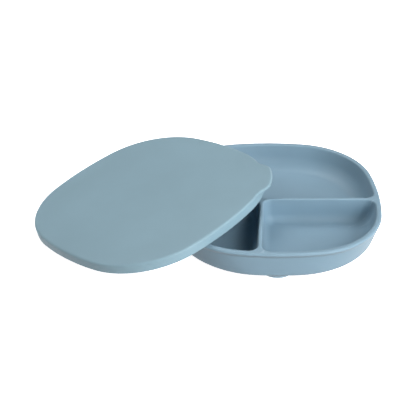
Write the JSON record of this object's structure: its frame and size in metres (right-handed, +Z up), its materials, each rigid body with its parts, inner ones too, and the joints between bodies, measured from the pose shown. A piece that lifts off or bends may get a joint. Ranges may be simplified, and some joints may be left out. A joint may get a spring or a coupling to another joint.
{
  "type": "suction bowl",
  "caption": "Rounded-square divided feeding bowl on suction cups, with a flat skirted lid leaning against its rim.",
  "frame": {"origin": "bottom centre of the whole set's box, on the table: the bowl on its cups with the lid leaning at its left", "axes": "+Z up; +X from the lid towards the bowl, along the longest side; -Y is the front, where the two small compartments are"},
  "size_m": [0.328, 0.2232, 0.055],
  "materials": {
    "bowl_silicone": "matte silicone",
    "lid_silicone": "matte silicone",
    "cup_silicone": "matte silicone"
  },
  "bodies": {
    "suction_cups": {"suction_cup_front": "cup_silicone", "suction_cup_back": "cup_silicone", "suction_cup_left": "cup_silicone", "suction_cup_right": "cup_silicone"},
    "bowl": {"bowl": "bowl_silicone"},
    "lid": {"lid": "lid_silicone"}
  },
  "joints": [
    {"name": "press_down", "type": "slide", "parent": "suction_cups", "child": "bowl", "axis": [0, 0, -1], "range_m": [0, 0.002], "stiffness_N_per_m": 2000, "springref_m": -0.0016, "deforming": ["suction_cup_front", "suction_cup_back", "suction_cup_left", "suction_cup_right"]},
    {"name": "lid_lift", "type": "slide", "parent": "suction_cups", "child": "lid", "axis": [0, 0, 1], "range_m": [0, 0.12]}
  ]
}
